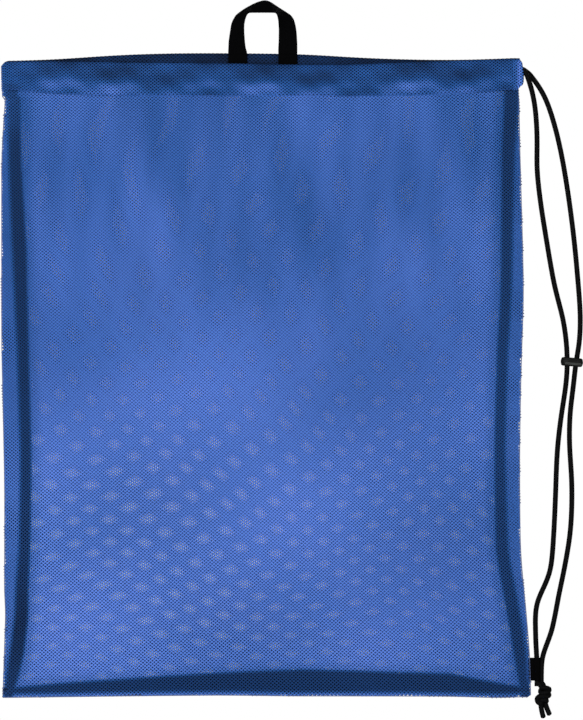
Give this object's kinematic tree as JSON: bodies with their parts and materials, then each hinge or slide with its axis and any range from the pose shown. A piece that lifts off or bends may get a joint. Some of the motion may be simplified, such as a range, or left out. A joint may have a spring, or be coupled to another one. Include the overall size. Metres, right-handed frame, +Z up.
{
  "type": "mesh laundry bag",
  "caption": "Flat drawstring mesh laundry bag with a hemmed mouth, a webbing hanging loop, and a doubled carrying cord down one side through a sliding bead to a knotted corner tab.",
  "frame": {"origin": "the middle of the hanging loop's inner top edge, where a hook or peg bears", "axes": "+Z up when hung, -Y out of the bag's front, +X to the side that carries the cord"},
  "size_m": [0.5808, 0.0149, 0.7167],
  "materials": {
    "mesh_cloth": "matte",
    "hem_cloth": "matte",
    "thread": "matte",
    "webbing": "matte",
    "cord": "matte",
    "slider_plastic": "satin"
  },
  "bodies": {
    "bag": {"back_panel": "mesh_cloth", "back_hem": "hem_cloth", "back_exit_facing": "mesh_cloth", "back_hem_stitch": "thread", "left_side_seam": "mesh_cloth", "right_side_seam": "mesh_cloth", "bottom_seam": "mesh_cloth", "left_overlock_thread": "thread", "right_overlock_thread": "thread", "bottom_overlock_thread": "thread", "drawcord_back_run": "cord", "drawcord_left_turn": "cord", "hang_loop_end_left": "webbing", "hang_loop_end_right": "webbing", "loop_tack_left": "thread", "loop_tack_right": "thread", "corner_tab_ends": "webbing", "corner_tab_tack": "thread"},
    "front": {"front_panel": "mesh_cloth", "front_hem": "hem_cloth", "front_exit_facing": "mesh_cloth", "front_hem_stitch": "thread", "drawcord_front_run": "cord"},
    "loop": {"hang_loop": "webbing"},
    "strap": {"cord_leg_inner": "cord", "cord_leg_outer": "cord", "corner_tab": "webbing"},
    "slider": {"cord_slider": "slider_plastic"},
    "knot": {"cord_knot": "cord", "cord_tail_inner": "cord", "cord_tail_outer": "cord"}
  },
  "joints": [
    {"name": "mouth_open", "type": "hinge", "parent": "bag", "child": "front", "pos_m": [0, -0.0034, -0.6844], "axis": [1, 0, 0], "range_deg": [0, 8]},
    {"name": "loop_fold", "type": "hinge", "parent": "bag", "child": "loop", "pos_m": [0, 0, -0.0386], "axis": [1, 0, 0], "range_deg": [-90, 90], "stiffness_Nm_per_rad": 0.002},
    {"name": "strap_swing", "type": "hinge", "parent": "bag", "child": "strap", "pos_m": [0.2687, 0, -0.655], "axis": [-0.0114, 0, 0.9999], "range_deg": [-90, 90]},
    {"name": "slider_slide", "type": "slide", "parent": "strap", "child": "slider", "axis": [0, 0, 1], "range_m": [-0.17, 0.17], "deforming": ["cord_leg_inner", "cord_leg_outer"]},
    {"name": "knot_swing", "type": "hinge", "parent": "strap", "child": "knot", "pos_m": [0.279, 0, -0.6706], "axis": [1, 0, 0], "range_deg": [-60, 60]}
  ]
}
